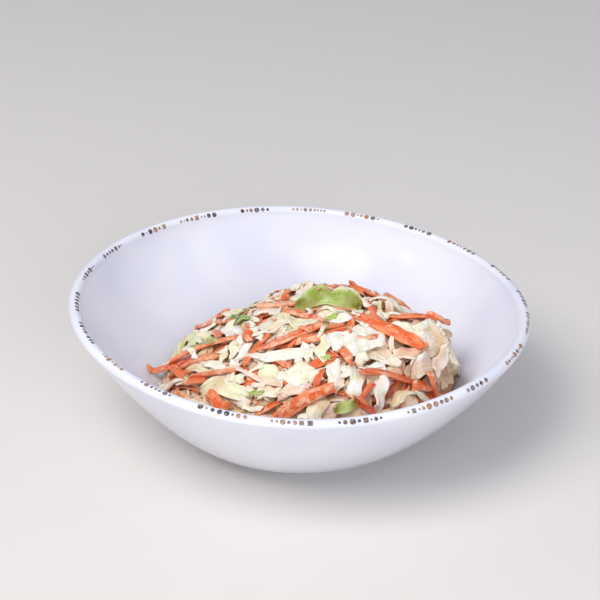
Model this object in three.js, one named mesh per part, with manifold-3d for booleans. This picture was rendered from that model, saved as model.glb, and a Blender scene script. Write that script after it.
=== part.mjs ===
// Coleslaw heaped in a white bowl. The bowl is thick glazed china on a foot ring, round from above, with a
// lip that rises and dips as it goes round. The slaw is a mound of cabbage flakes, carrot strips and green
// leaf, every piece laid on what is already there. Millimetres, +Z up, the viewer at -Y. The origin is on
// the table under the middle of the rim.
import * as THREE from "three";
import { mergeVertices } from "three/addons/utils/BufferGeometryUtils.js";
import Module from "manifold-3d";

const wasm = await Module();
wasm.setup();

const bowl = {
  rimRadius: 105, // outside of the lip
  rimHeight: 59, // mean height of the lip's top
  lipThickness: 5.4,
  footRadius: 47,
  footHeight: 2.5,
  footWidth: 5,
  footShift: -8, // the foot stands in front of the rim's middle
  recess: 1.5, // hollow under the foot
  floorTop: 7.5,
  floorRadius: 36,
  around: 60, // facets round the bowl
};

// The rim's rise and dip: height added at an angle, counted from +X.
const rimWave = { once: -4.4, twice: 0.9, twiceSide: -0.7, thriceSide: -0.8 };

// The mound of slaw, an oval dome that leans a little to the right and is lumpy all over.
const mound = {
  x: 0,
  y: -3,
  halfWidth: 72,
  halfDepth: 62,
  base: 13,
  rise: 46,
  roundness: 0.6,
  lean: 0.15,
  lump: 1.3, // height of the lumps
  lumpSize: 8.5,
  shoulder: { x: 60, y: -9, size: 18, rise: 13 }, // steep right-hand side
};

const wallRows = 8; // facets from the floor to the lip
const lipSteps = 5;
const gap = 0.45; // between slaw and glaze
const coverDepth = 4.2; // the core lies this far under the mound's top
const sink = 0.4; // pieces are pressed this far into what they lie on
const coreGrid = { rings: 6, around: 30, edge: 1 };
const cell = 1.5; // height field
const reach = 87; // half the side of the height field
const scattered = 34; // pieces laid by rule before the shown ones

// How each kind of piece is cut. Lengths and widths are ranges.
const kinds = {
  cabbage: { long: [16, 28], wide: [8, 14], thick: 1.4, ripple: 1.4, stiff: 0.4, bend: 0.5, taper: 0.5 },
  carrot: { long: [22, 38], wide: [3.8, 5.4], thick: 2.8, ripple: 0, stiff: 0.75, bend: 0.3, taper: 0.25 },
  leaf: { long: [12, 20], wide: [6, 9], thick: 1.1, ripple: 1.5, stiff: 0.3, bend: 0.4, taper: 0.6 },
};

// The pieces seen best from the front, the lowest first: kind, place on the plan, turn in degrees, length and
// width. Some stand up: lift raises the middle, tip the far end, and curl the far edge, in two peaks.
const shown = [
  ["cabbage", [-63, -12], -30, 10, 6],
  ["cabbage", [-57, -18], -40, 17, 6],
  ["cabbage", [-45, -21], -50, 20, 5],
  ["cabbage", [-41, -3], -20, 14, 9],
  ["cabbage", [-33, -2], -60, 16, 9],
  ["cabbage", [-33, -37], -36, 27, 10],
  ["cabbage", [-38, -24], -48, 18, 6],
  ["cabbage", [-13, -37], -30, 14, 8],
  ["cabbage", [-13, -46], -20, 13, 8],
  ["cabbage", [-1, -42], 0, 18, 14],
  ["cabbage", [-13, -11], -40, 18, 9],
  ["cabbage", [1, -12], -25, 18, 9],
  ["cabbage", [-28, -18], -57, 12, 6],
  ["cabbage", [-25, -22], 58, 12, 5],
  ["cabbage", [10, -32], 80, 15, 7],
  ["cabbage", [15, -44], 87, 17, 9],
  ["cabbage", [35, -46], 76, 17, 8],
  ["cabbage", [45, -44], 42, 16, 8],
  ["cabbage", [55, -39], 28, 11, 5],
  ["cabbage", [57, -17], 10, 26, 20, { tip: 6 }],
  ["cabbage", [49, -28], 5, 18, 9],
  ["cabbage", [25, -26], 24, 27, 17],
  ["cabbage", [24, -46], 90, 19, 8],
  ["cabbage", [31, -38], 16, 11, 5],
  ["cabbage", [19, -10], 10, 10, 6],
  ["cabbage", [28, -12], -80, 12, 6],
  ["cabbage", [39, 6], -10, 16, 5, { lift: 7 }],
  ["carrot", [2, -6], -25, 19, 4],
  ["leaf", [13, 2], -4, 31, 9, { curl: 8 }],
  ["leaf", [-45, -5], 10, 12, 7],
  ["leaf", [39, -11], 46, 9, 6],
  ["carrot", [-48, -13], -30, 30, 5],
  ["carrot", [-55, -15], -60, 14, 5],
  ["carrot", [-47, -27], -25, 13, 5],
  ["carrot", [-43, -8], -18, 45, 3.6, { lift: 1 }],
  ["carrot", [-39, -29], -28, 25, 3],
  ["carrot", [-37, -41], -56, 11, 5],
  ["carrot", [-23, -10], 89, 14, 5.5],
  ["carrot", [-20, -25], 56, 22, 3.6],
  ["cabbage", [-9, -31], -7, 31, 7],
  ["cabbage", [-11, -14], 23, 12, 6],
  ["cabbage", [-20, -38], -32, 30, 4],
  ["carrot", [-3, -22], 18, 31, 6],
  ["cabbage", [-2, -49], 1, 16, 5],
  ["carrot", [-1, -53], 9, 33, 6.5],
  ["carrot", [33, -3], -71, 19, 4.5],
  ["carrot", [38, -39], 20, 25, 4.5],
  ["carrot", [47, -1], -10, 13, 4],
  ["carrot", [52, -6], -8, 22, 4.2, { tip: 2 }],
  ["carrot", [64, -6], 12, 18, 3.8, { tip: 6 }],
  ["carrot", [42, -19], -28, 41, 6],
];

// Small seeded generator, so that each run lays the same heap.
function seeded(seed) {
  let state = seed;
  return () => {
    state = (state + 0x6d2b79f5) | 0;
    let mixed = Math.imul(state ^ (state >>> 15), 1 | state);
    mixed = (mixed + Math.imul(mixed ^ (mixed >>> 7), 61 | mixed)) ^ mixed;
    return ((mixed ^ (mixed >>> 14)) >>> 0) / 4294967296;
  };
}

const clamp01 = (t) => Math.min(1, Math.max(0, t));
const mix = (a, b, t) => a + (b - a) * t;

// How far the rim's shape has taken over from the round foot at a radius.
function rimShare(radius) {
  const t = clamp01((radius - bowl.footRadius) / (bowl.rimRadius - bowl.footRadius));
  return t * t * (3 - 2 * t);
}

function waveHeight(angle) {
  return (
    rimWave.once * Math.cos(angle) +
    rimWave.twice * Math.cos(2 * angle) +
    rimWave.twiceSide * Math.sin(2 * angle) +
    rimWave.thriceSide * Math.sin(3 * angle)
  );
}

// The inside wall, from the flat floor to the lip, as a curve of radius against height.
function innerCurve(inset = 0) {
  const lipRadius = bowl.rimRadius - bowl.lipThickness;
  const lipHeight = bowl.rimHeight - bowl.lipThickness / 2;
  return new THREE.CubicBezierCurve(
    new THREE.Vector2(bowl.floorRadius, bowl.floorTop + inset),
    new THREE.Vector2(bowl.floorRadius + 26, bowl.floorTop + inset),
    new THREE.Vector2(lipRadius - 6.1 - inset, lipHeight - 18.3),
    new THREE.Vector2(lipRadius - inset, lipHeight),
  );
}

// The outside wall, from the foot to the lip.
function outerCurve() {
  const lipHeight = bowl.rimHeight - bowl.lipThickness / 2;
  return new THREE.CubicBezierCurve(
    new THREE.Vector2(bowl.footRadius, bowl.footHeight),
    new THREE.Vector2(bowl.footRadius + 22, bowl.footHeight + 6),
    new THREE.Vector2(bowl.rimRadius - 6, lipHeight - 13),
    new THREE.Vector2(bowl.rimRadius, lipHeight),
  );
}

// Turns a profile into a solid and bends it to the bowl's own shape.
function turned(profile) {
  const geometry = new THREE.LatheGeometry(profile, bowl.around);
  geometry.rotateX(Math.PI / 2);
  const place = geometry.getAttribute("position");
  for (let i = 0; i < place.count; i++) {
    const x = place.getX(i);
    const y = place.getY(i);
    const share = rimShare(Math.hypot(x, y));
    const lift = waveHeight(Math.atan2(y, x)) * share;
    place.setXYZ(i, x, y + bowl.footShift * (1 - share), place.getZ(i) + lift);
  }
  return closed(geometry);
}

function bowlProfile() {
  const half = bowl.lipThickness / 2;
  const lip = new THREE.Vector2(bowl.rimRadius - half, bowl.rimHeight - half);
  const profile = [new THREE.Vector2(0, bowl.floorTop), ...innerCurve().getPoints(wallRows)];
  for (let i = 1; i < lipSteps; i++) {
    const angle = Math.PI * (1 - i / lipSteps);
    profile.push(new THREE.Vector2(Math.cos(angle), Math.sin(angle)).multiplyScalar(half).add(lip));
  }
  profile.push(...outerCurve().getPoints(wallRows).reverse());
  const inside = bowl.footRadius - bowl.footWidth;
  profile.push(
    new THREE.Vector2(bowl.footRadius - 1, 0),
    new THREE.Vector2(inside + 1, 0),
    new THREE.Vector2(inside, bowl.recess),
    new THREE.Vector2(0, bowl.recess),
  );
  return profile.reverse();
}

// A closed geometry with its shared corners merged.
function closed(geometry) {
  const bare = geometry.clone();
  bare.deleteAttribute("normal");
  bare.deleteAttribute("uv");
  return mergeVertices(bare, 1e-3);
}

function solidOf(geometry) {
  return new wasm.Manifold(
    new wasm.Mesh({
      numProp: 3,
      vertProperties: geometry.getAttribute("position").array,
      triVerts: new Uint32Array(geometry.index.array),
    }),
  );
}

function geometryOf(solid) {
  const mesh = solid.getMesh();
  return new THREE.BufferGeometry()
    .setAttribute("position", new THREE.BufferAttribute(mesh.vertProperties, 3))
    .setIndex(new THREE.BufferAttribute(mesh.triVerts, 1));
}

// Height of the bowl's inside above a point of the plan.
const wallSamples = innerCurve().getPoints(60);
function bowlTop(x, y) {
  let radius = Math.hypot(x, y);
  for (let i = 0; i < 8; i++) radius = Math.hypot(x, y - bowl.footShift * (1 - rimShare(radius)));
  const angle = Math.atan2(y - bowl.footShift * (1 - rimShare(radius)), x);
  return wallHeight(radius) + waveHeight(angle) * rimShare(radius);
}

function wallHeight(radius) {
  if (radius <= wallSamples[0].x) return bowl.floorTop;
  const next = wallSamples.findIndex((point) => point.x > radius);
  if (next < 0) return bowl.rimHeight;
  const a = wallSamples[next - 1];
  const b = wallSamples[next];
  return mix(a.y, b.y, (radius - a.x) / (b.x - a.x));
}

function moundTop(x, y) {
  const across = (x - mound.x) / mound.halfWidth;
  const deep = (y - mound.y) / mound.halfDepth;
  const fall = clamp01(1 - across * across - deep * deep);
  const dome = mound.base + mound.rise * fall ** mound.roundness + mound.lean * (x - mound.x);
  const { shoulder } = mound;
  const beside = clamp01(Math.hypot(x - shoulder.x, y - shoulder.y) / shoulder.size);
  const heaped = shoulder.rise * (1 - beside * beside) ** 2;
  const u = x / mound.lumpSize;
  const v = y / mound.lumpSize;
  const lumps = Math.sin(u + 2 * Math.sin(0.6 * v)) * Math.sin(v + 1.5 * Math.sin(0.7 * u));
  return dome + heaped + mound.lump * lumps * Math.sqrt(fall);
}

const coreTop = (x, y) => moundTop(x, y) - coverDepth;

// The heights of everything laid so far, on a square grid.
class HeightField {
  constructor(height) {
    this.side = Math.round((2 * reach) / cell) + 1;
    this.values = new Float64Array(this.side * this.side);
    for (let k = 0; k < this.values.length; k++)
      this.values[k] = height((k % this.side) * cell - reach, Math.floor(k / this.side) * cell - reach);
  }
  at(x, y) {
    const last = this.side - 1.001;
    const u = Math.min(last, Math.max(0, (x + reach) / cell));
    const v = Math.min(last, Math.max(0, (y + reach) / cell));
    const i = Math.floor(u);
    const j = Math.floor(v);
    const row = j * this.side + i;
    const near = mix(this.values[row], this.values[row + 1], u - i);
    const far = mix(this.values[row + this.side], this.values[row + this.side + 1], u - i);
    return mix(near, far, v - j);
  }
  raise(x, y, height) {
    const i = Math.round((x + reach) / cell);
    const j = Math.round((y + reach) / cell);
    if (i < 0 || j < 0 || i >= this.side || j >= this.side) return;
    const k = j * this.side + i;
    this.values[k] = Math.max(this.values[k], height);
  }
}

// A step over the ground covers less of the plan where the ground slopes.
function shortening(x, y, dx, dy, steepest) {
  const slope = moundTop(x + dx, y + dy) - moundTop(x, y);
  return 1 / Math.hypot(1, Math.max(-steepest, Math.min(steepest, slope)));
}

// The plan of a piece: rows of points along it, each row across it.
function planOf(piece, along, across) {
  const kind = kinds[piece.kind];
  const step = piece.long / along;
  const walk = (direction) => {
    const spots = [];
    let { x, y, turn } = piece;
    for (let i = 0; i < along / 2; i++) {
      const dx = Math.cos(turn) * direction;
      const dy = Math.sin(turn) * direction;
      const plain = step * shortening(x, y, dx, dy, 2);
      x += dx * plain;
      y += dy * plain;
      turn += (direction * piece.bend * step) / piece.long;
      spots.push({ x, y, turn });
    }
    return spots;
  };
  const line = [...walk(-1).reverse(), { x: piece.x, y: piece.y, turn: piece.turn }, ...walk(1)];
  return line.map((spot, i) => {
    const u = (2 * i) / along - 1;
    const sideX = -Math.sin(spot.turn);
    const sideY = Math.cos(spot.turn);
    const narrow = 1 - kind.taper * Math.abs(u) ** 3;
    const half = (piece.wide / 2) * narrow * shortening(spot.x, spot.y, sideX, sideY, 1.5);
    return Array.from({ length: across + 1 }, (_, j) => {
      const v = (2 * j) / across - 1;
      const sway = v * half + (kind.ripple ? 0.1 * piece.wide * Math.sin(5 * u + piece.phase) : 0);
      const skew = v * half * piece.skew;
      return { x: spot.x + sideX * sway + sideY * skew, y: spot.y + sideY * sway - sideX * skew, u, v };
    });
  });
}

// The height at which a piece comes to rest on the field: a taut sheet over what is under it, partly
// straightened, rippled, and stood up where the piece says so.
function restOf(piece, plan, field) {
  const last = plan.length - 1;
  const side = plan[0].length - 1;
  const under = plan.map((row) => row.map((p) => field.at(p.x, p.y)));
  let lie = under.map((row) => [...row]);
  for (let pass = 0; pass < 8; pass++) {
    const before = lie;
    lie = before.map((row, i) =>
      row.map((z, j) => {
        const endwise = i && i < last ? (before[i - 1][j] + before[i + 1][j]) / 2 : z;
        const sidewise = j && j < side ? (row[j - 1] + row[j + 1]) / 2 : z;
        return Math.max(under[i][j], (endwise + sidewise) / 2);
      }),
    );
  }
  const middle = lie.map((row) => row.reduce((sum, z) => sum + z, 0) / row.length);
  const mean = middle.reduce((sum, z) => sum + z, 0) / middle.length;
  const spread = plan.reduce((sum, row) => sum + row[0].u ** 2, 0);
  const tilt = middle.reduce((sum, z, i) => sum + z * plan[i][0].u, 0) / spread;
  const straight = plan.map((row) => mean + tilt * row[0].u);
  const lift = 0.5 * Math.max(...middle.map((z, i) => z - straight[i]));
  const kind = kinds[piece.kind];
  return plan.map((row, i) =>
    row.map((p, j) => {
      const stiffer = lie[i][j] + kind.stiff * (straight[i] + lift - middle[i]);
      const swell = 0.4 + 0.6 * Math.abs(p.v);
      const ripple = kind.ripple * swell * Math.sin(3.2 * p.u + piece.phase + 1.5 * p.v);
      const peaks = ((p.v + 1) / 2) * (0.55 + 0.45 * Math.abs(Math.sin(Math.PI * p.u)));
      const stand = piece.lift * (1 - p.u * p.u) + (piece.tip * (p.u + 1)) / 2 + piece.curl * peaks;
      const height = Math.max(stiffer + ripple + stand, bowlTop(p.x, p.y) + gap + sink);
      return new THREE.Vector3(p.x, p.y, height - sink);
    }),
  );
}

// Raises the field by a piece laid on it.
function cover(points, thick, field) {
  const fine = 4;
  const last = points.length - 1;
  const side = points[0].length - 1;
  for (let s = 0; s <= last * fine; s++)
    for (let t = 0; t <= side * fine; t++) {
      const i = Math.min(last - 1, Math.floor(s / fine));
      const j = Math.min(side - 1, Math.floor(t / fine));
      const near = points[i][j].clone().lerp(points[i + 1][j], s / fine - i);
      const far = points[i][j + 1].clone().lerp(points[i + 1][j + 1], s / fine - i);
      const spot = near.lerp(far, t / fine - j);
      field.raise(spot.x, spot.y, spot.z + thick);
    }
}

// Lays a piece and gives its solid.
function lay(piece, field) {
  const { thick } = kinds[piece.kind];
  const along = 2 * Math.max(1, Math.round(piece.long / 14));
  const across = piece.kind !== "carrot" && piece.wide > 6.5 ? 2 : 1;
  const points = restOf(piece, planOf(piece, along, across), field);
  cover(points, thick, field);
  return slab(points, thick);
}

// A closed slab under and over a grid of points, both faces split alike.
function slab(rows, thick) {
  const along = rows.length;
  const across = rows[0].length;
  const corners = [];
  for (const raise of [0, thick])
    for (const row of rows) for (const p of row) corners.push(p.x, p.y, p.z + raise);
  const id = (layer, i, j) => layer * along * across + i * across + j;
  const faces = [];
  const quad = (a, b, c, d) => faces.push(a, b, c, a, c, d);
  for (let i = 0; i + 1 < along; i++)
    for (let j = 0; j + 1 < across; j++) {
      quad(id(1, i, j), id(1, i + 1, j), id(1, i + 1, j + 1), id(1, i, j + 1));
      faces.push(id(0, i, j), id(0, i + 1, j + 1), id(0, i + 1, j));
      faces.push(id(0, i, j), id(0, i, j + 1), id(0, i + 1, j + 1));
    }
  const rim = [];
  for (let i = 0; i < along; i++) rim.push([i, 0]);
  for (let j = 1; j < across; j++) rim.push([along - 1, j]);
  for (let i = along - 2; i >= 0; i--) rim.push([i, across - 1]);
  for (let j = across - 2; j > 0; j--) rim.push([0, j]);
  rim.forEach(([i, j], k) => {
    const [m, n] = rim[(k + 1) % rim.length];
    quad(id(0, i, j), id(0, m, n), id(1, m, n), id(1, i, j));
  });
  return new THREE.BufferGeometry()
    .setAttribute("position", new THREE.BufferAttribute(new Float32Array(corners), 3))
    .setIndex(faces);
}

// The smooth core that the pieces lie on: the dome above, the bowl's inside below. It ends where it has
// thinned out to its edge.
function coreGeometry() {
  const { rings, around, edge } = coreGrid;
  const floor = (x, y) => bowlTop(x, y) + gap;
  const spokes = Array.from({ length: around }, (_, k) => {
    const angle = (2 * Math.PI * k) / around;
    const spot = (share) => [
      mound.x + share * mound.halfWidth * Math.cos(angle),
      mound.y + share * mound.halfDepth * Math.sin(angle),
    ];
    let end = 0.4;
    while (end < 1 && coreTop(...spot(end)) > floor(...spot(end)) + edge) end += 0.01;
    return (share) => spot(share * end);
  });
  const corners = [];
  for (const top of [false, true])
    for (let r = 0; r <= rings; r++)
      for (let k = 0; k < (r ? around : 1); k++) {
        const [x, y] = spokes[k](r / rings);
        corners.push(x, y, top ? Math.max(coreTop(x, y), floor(x, y) + edge) : floor(x, y));
      }
  const layer = 1 + rings * around;
  const id = (top, r, k) => (top ? layer : 0) + (r ? 1 + (r - 1) * around + (k % around) : 0);
  const faces = [];
  for (let k = 0; k < around; k++) {
    faces.push(id(1, 0, 0), id(1, 1, k), id(1, 1, k + 1));
    faces.push(id(0, 0, 0), id(0, 1, k + 1), id(0, 1, k));
    for (let r = 1; r < rings; r++) {
      faces.push(id(1, r, k), id(1, r + 1, k), id(1, r + 1, k + 1));
      faces.push(id(1, r, k), id(1, r + 1, k + 1), id(1, r, k + 1));
      faces.push(id(0, r, k), id(0, r + 1, k + 1), id(0, r + 1, k));
      faces.push(id(0, r, k), id(0, r, k + 1), id(0, r + 1, k + 1));
    }
    faces.push(id(0, rings, k), id(0, rings, k + 1), id(1, rings, k + 1));
    faces.push(id(0, rings, k), id(1, rings, k + 1), id(1, rings, k));
  }
  return new THREE.BufferGeometry()
    .setAttribute("position", new THREE.BufferAttribute(new Float32Array(corners), 3))
    .setIndex(faces);
}

// The room inside the bowl, a gap away from the glaze, which trims what would touch it.
function roomInside() {
  const ceiling = 120;
  const wall = innerCurve(gap).getPoints(wallRows);
  return solidOf(
    turned([
      new THREE.Vector2(0, bowl.floorTop + gap),
      ...wall,
      new THREE.Vector2(wall[wall.length - 1].x, ceiling),
      new THREE.Vector2(0, ceiling),
    ]),
  );
}

const random = seeded(7);
const between = ([low, high]) => low + (high - low) * random();

// A piece of a kind at a spot, with its own small irregularities.
function cut(kind, x, y, turn, long, wide, { lift = 0, tip = 0, curl = 0 } = {}) {
  const bend = kinds[kind].bend * (2 * random() - 1);
  const skew = 0.8 * (random() - 0.5);
  const phase = 2 * Math.PI * random();
  return { kind, x, y, turn, long, wide, lift, tip, curl, bend, skew, phase };
}

// Pieces spread over the mound, the largest first, each at the barest of a few random spots.
function spreadOut(count, taken) {
  const pieces = [];
  const spots = taken.map((piece) => [piece.x, piece.y]);
  for (let n = 0; n < count; n++) {
    let best = { room: -1 };
    for (let tries = 0; tries < 12; tries++) {
      const angle = 2 * Math.PI * random();
      const far = Math.sqrt(random()) * 0.87;
      const x = mound.x + far * mound.halfWidth * Math.cos(angle);
      const y = mound.y + far * mound.halfDepth * Math.sin(angle);
      const room = Math.min(...spots.map(([px, py]) => Math.hypot(px - x, py - y)));
      if (room > best.room) best = { x, y, room };
    }
    spots.push([best.x, best.y]);
    const draw = random();
    const kind = draw < 0.46 ? "cabbage" : draw < 0.88 ? "carrot" : "leaf";
    const turn = Math.PI * random();
    pieces.push(cut(kind, best.x, best.y, turn, between(kinds[kind].long), between(kinds[kind].wide)));
  }
  return pieces.sort((a, b) => b.long * b.wide - a.long * a.wide);
}

function slawGeometry() {
  const field = new HeightField((x, y) => Math.max(coreTop(x, y), bowlTop(x, y) + gap));
  const onTop = shown.map(([kind, [x, y], turn, long, wide, stand]) =>
    cut(kind, x, y, (turn * Math.PI) / 180, long, wide, stand),
  );
  const pieces = [...spreadOut(scattered, onTop), ...onTop];
  const solids = [solidOf(coreGeometry()), ...pieces.map((piece) => solidOf(lay(piece, field)))];
  const heap = wasm.Manifold.union(solids).intersect(roomInside());
  const whole = heap.decompose().sort((a, b) => b.volume() - a.volume())[0];
  return geometryOf(whole);
}

const glaze = new THREE.MeshStandardMaterial({ color: 0xeceef6, roughness: 0.18, metalness: 0 });
const slawColour = new THREE.MeshStandardMaterial({ color: 0xf0dcc0, roughness: 0.4, metalness: 0 });

const part = new THREE.Group();
const bowlMesh = new THREE.Mesh(turned(bowlProfile()), glaze);
bowlMesh.name = "bowl";
const slawMesh = new THREE.Mesh(slawGeometry(), slawColour);
slawMesh.name = "slaw";
part.add(bowlMesh, slawMesh);

export default part;
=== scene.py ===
import math

import bpy
import numpy as np
from mathutils import Euler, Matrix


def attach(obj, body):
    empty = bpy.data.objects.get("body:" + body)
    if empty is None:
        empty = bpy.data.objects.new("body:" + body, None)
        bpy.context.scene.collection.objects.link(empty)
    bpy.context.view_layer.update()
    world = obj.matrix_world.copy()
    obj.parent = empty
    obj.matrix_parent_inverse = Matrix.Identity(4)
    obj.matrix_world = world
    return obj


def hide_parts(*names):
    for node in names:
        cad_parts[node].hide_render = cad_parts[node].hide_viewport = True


# A white china bowl heaped with coleslaw. Forms are worked out in millimetres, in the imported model's own
# frame, and become metres when a mesh is made.

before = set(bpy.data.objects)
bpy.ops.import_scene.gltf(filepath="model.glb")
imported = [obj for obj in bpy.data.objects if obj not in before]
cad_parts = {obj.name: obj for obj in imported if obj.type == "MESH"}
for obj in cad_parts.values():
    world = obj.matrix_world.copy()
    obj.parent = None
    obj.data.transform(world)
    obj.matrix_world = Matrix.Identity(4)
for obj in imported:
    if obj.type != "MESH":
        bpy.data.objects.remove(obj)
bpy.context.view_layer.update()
metre = 1000
print("frame loaded")


# Finishes

def paint(red, green, blue):
    # a screen colour, 0 to 255, as the shader's linear colour
    shares = (red / 255, green / 255, blue / 255)
    return tuple(c / 12.92 if c < 0.04045 else ((c + 0.055) / 1.055) ** 2.4 for c in shares)


class Sock:
    # an output socket that can be written with in sums
    def __init__(self, finish, socket):
        self.finish = finish
        self.socket = socket

    def sum(self, operation, first, second):
        return self.finish.node("ShaderNodeMath", {"operation": operation}, {0: first, 1: second})

    def __add__(self, other):
        return self.sum("ADD", self, other)

    def __radd__(self, other):
        return self.sum("ADD", other, self)

    def __sub__(self, other):
        return self.sum("SUBTRACT", self, other)

    def __rsub__(self, other):
        return self.sum("SUBTRACT", other, self)

    def __mul__(self, other):
        return self.sum("MULTIPLY", self, other)

    def __rmul__(self, other):
        return self.sum("MULTIPLY", other, self)


class Finish:
    # one material, built node by node
    def __init__(self, name):
        self.material = bpy.data.materials.new(name)
        self.material.use_nodes = True
        self.tree = self.material.node_tree
        self.tree.nodes.clear()

    def node(self, kind, settings, inputs, output=0):
        made = self.tree.nodes.new(kind)
        for key, value in settings.items():
            if key == "stops":
                self.setStops(made.color_ramp, value)
            else:
                setattr(made, key, value)
        for key, value in inputs.items():
            self.feed(made.inputs[key], value)
        return Sock(self, made.outputs[output])

    def setStops(self, ramp, stops):
        while len(ramp.elements) < len(stops):
            ramp.elements.new(0.5)
        for element, (place, colour) in zip(ramp.elements, stops):
            element.position = place
            element.color = (*colour, 1)

    def feed(self, socket, value):
        if isinstance(value, Sock):
            self.tree.links.new(value.socket, socket)
        elif isinstance(value, tuple) and len(value) == 3 and len(socket.default_value) == 4:
            socket.default_value = (*value, 1)
        else:
            socket.default_value = value

    def mixed(self, share, first, second, how="MIX"):
        settings = {"data_type": "RGBA", "blend_type": how}
        return self.node("ShaderNodeMix", settings, {0: share, 6: first, 7: second}, 2)

    def attribute(self, name, output="Color"):
        return self.node("ShaderNodeAttribute", {"attribute_name": name}, {}, output)

    def place(self):
        return self.node("ShaderNodeTexCoord", {}, {}, "Object")

    def stretched(self, vector, scale):
        return self.node("ShaderNodeVectorMath", {"operation": "MULTIPLY"}, {0: vector, 1: scale})

    def noise(self, vector, scale, detail=2.0, distortion=0.0):
        return self.node("ShaderNodeTexNoise", {}, {
            "Vector": vector, "Scale": scale, "Detail": detail, "Distortion": distortion})

    def between(self, value, low, high):
        # 0 below low, 1 above high, eased
        return self.node("ShaderNodeMapRange", {"interpolation_type": "SMOOTHSTEP"}, {
            "Value": value, "From Min": low, "From Max": high})

    def bump(self, height, strength, distance):
        return self.node("ShaderNodeBump", {}, {
            "Height": height, "Strength": strength, "Distance": distance})

    def surface(self, sockets):
        shader = self.node("ShaderNodeBsdfPrincipled", {}, sockets)
        end = self.tree.nodes.new("ShaderNodeOutputMaterial")
        self.tree.links.new(shader.socket, end.inputs["Surface"])
        return self.material


# Meshes from arrays

def addValues(mesh, label, kind, key, values):
    # values at the points, for the finishes to read
    mesh.attributes.new(label, kind, "POINT").data.foreach_set(key, np.asarray(values, np.float32).ravel())


def meshPiece(name, points, faces, material, colours=None, grain=None, shares=None):
    # faces is a list of whole-number arrays, four corners or three to a row
    mesh = bpy.data.meshes.new(name)
    mesh.vertices.add(len(points))
    mesh.vertices.foreach_set("co", (np.asarray(points) / metre).astype(np.float32).ravel())
    corners = np.concatenate([f.ravel() for f in faces]).astype(np.int32)
    counts = np.concatenate([np.full(len(f), f.shape[1]) for f in faces])
    mesh.loops.add(len(corners))
    mesh.loops.foreach_set("vertex_index", corners)
    mesh.polygons.add(len(counts))
    mesh.polygons.foreach_set("loop_start", np.concatenate([[0], np.cumsum(counts)[:-1]]).astype(np.int32))
    mesh.update(calc_edges=True)
    mesh.shade_smooth()
    if colours is not None:
        addValues(mesh, "tint", "FLOAT_COLOR", "color", colours)
        addValues(mesh, "grain", "FLOAT_VECTOR", "vector", grain)
    for label, values in (shares or {}).items():
        addValues(mesh, label, "FLOAT", "value", values)
    if shares:
        mesh.set_sharp_from_angle(angle=math.radians(40))
    mesh.materials.append(material)
    piece = bpy.data.objects.new(name, mesh)
    bpy.context.scene.collection.objects.link(piece)
    return piece


class Heap:
    # many closed little solids that end up as one mesh
    def __init__(self):
        self.solids = []

    def add(self, points, faces, colours, grain, edge):
        self.solids.append((points, faces, colours, grain, edge))

    def piece(self, name, material, depthAt=None):
        points, faces, colours, grain, edge = zip(*self.solids)
        starts = np.cumsum([0] + [len(part) for part in points[:-1]])
        faces = np.concatenate([part + first for part, first in zip(faces, starts)])
        points, colours, grain, edge = (np.concatenate(part) for part in (points, colours, grain, edge))
        shares = {"edge": edge, "depth": depthAt(points)} if depthAt else None
        return meshPiece(name, points, [faces], material, colours, grain, shares)


def gridFaces(rows, columns, start=0, flip=False):
    corner = np.arange(rows * columns).reshape(rows, columns) + start
    a, b, c, d = corner[:-1, :-1], corner[1:, :-1], corner[1:, 1:], corner[:-1, 1:]
    order = (a, d, c, b) if flip else (a, b, c, d)
    return np.stack(order, axis=-1).reshape(-1, 4)


def ringCorners(rings, around):
    # the number of each point on closed rings, and of the next one round
    corner = np.arange(rings * around).reshape(rings, around)
    return corner, np.roll(corner, -1, axis=1)


# The bowl

bowl = {
    "rimRadius": 105.0,
    "rimHeight": 59.0,
    "lipThickness": 5.4,
    "footRadius": 47.0,
    "footHeight": 2.5,
    "footWidth": 5.0,
    "footShift": -8.0,
    "recess": 1.5,
    "floorTop": 7.5,
    "floorRadius": 36.0,
    "innerLeave": (26.0, 0.0),  # the way out and up by which the inside leaves the floor
    "innerArrive": (6.1, 18.3),  # and by which it comes into the lip
    "outerLeave": (22.0, 6.0),  # the same for the outside, from foot to rim
    "outerArrive": (6.0, 13.0),
    "around": 192,
    "rows": 44,
    "waveOnce": -4.4,  # the rim's rise and dip, as in the solids
    "waveTwice": 0.9,
    "waveTwiceSide": -0.7,
    "waveThriceSide": -0.8,
    "glaze": paint(233, 234, 242),
    "glazeDeep": paint(224, 226, 239),
    "gloss": 0.16,
}


def rimShare(radius):
    t = np.clip((radius - bowl["footRadius"]) / (bowl["rimRadius"] - bowl["footRadius"]), 0, 1)
    return t * t * (3 - 2 * t)


def waveHeight(angle):
    return (bowl["waveOnce"] * np.cos(angle) + bowl["waveTwice"] * np.cos(2 * angle)
            + bowl["waveTwiceSide"] * np.sin(2 * angle) + bowl["waveThriceSide"] * np.sin(3 * angle))


def wallCurve(start, leave, arrive, end, steps):
    # a cubic curve that leaves its start by one way and comes into its end by the other
    t = np.linspace(0, 1, steps + 1)[:, None]
    a, d = np.array(start, float), np.array(end, float)
    b, c = a + leave, d - arrive
    return (1 - t) ** 3 * a + 3 * t * (1 - t) ** 2 * b + 3 * t * t * (1 - t) * c + t ** 3 * d


lipHeight = bowl["rimHeight"] - bowl["lipThickness"] / 2
lipRadius = bowl["rimRadius"] - bowl["lipThickness"]


def innerCurve(steps):
    floorEdge = (bowl["floorRadius"], bowl["floorTop"])
    return wallCurve(floorEdge, bowl["innerLeave"], bowl["innerArrive"], (lipRadius, lipHeight), steps)


def outerCurve(steps):
    foot = (bowl["footRadius"], bowl["footHeight"])
    return wallCurve(foot, bowl["outerLeave"], bowl["outerArrive"], (bowl["rimRadius"], lipHeight), steps)


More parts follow.
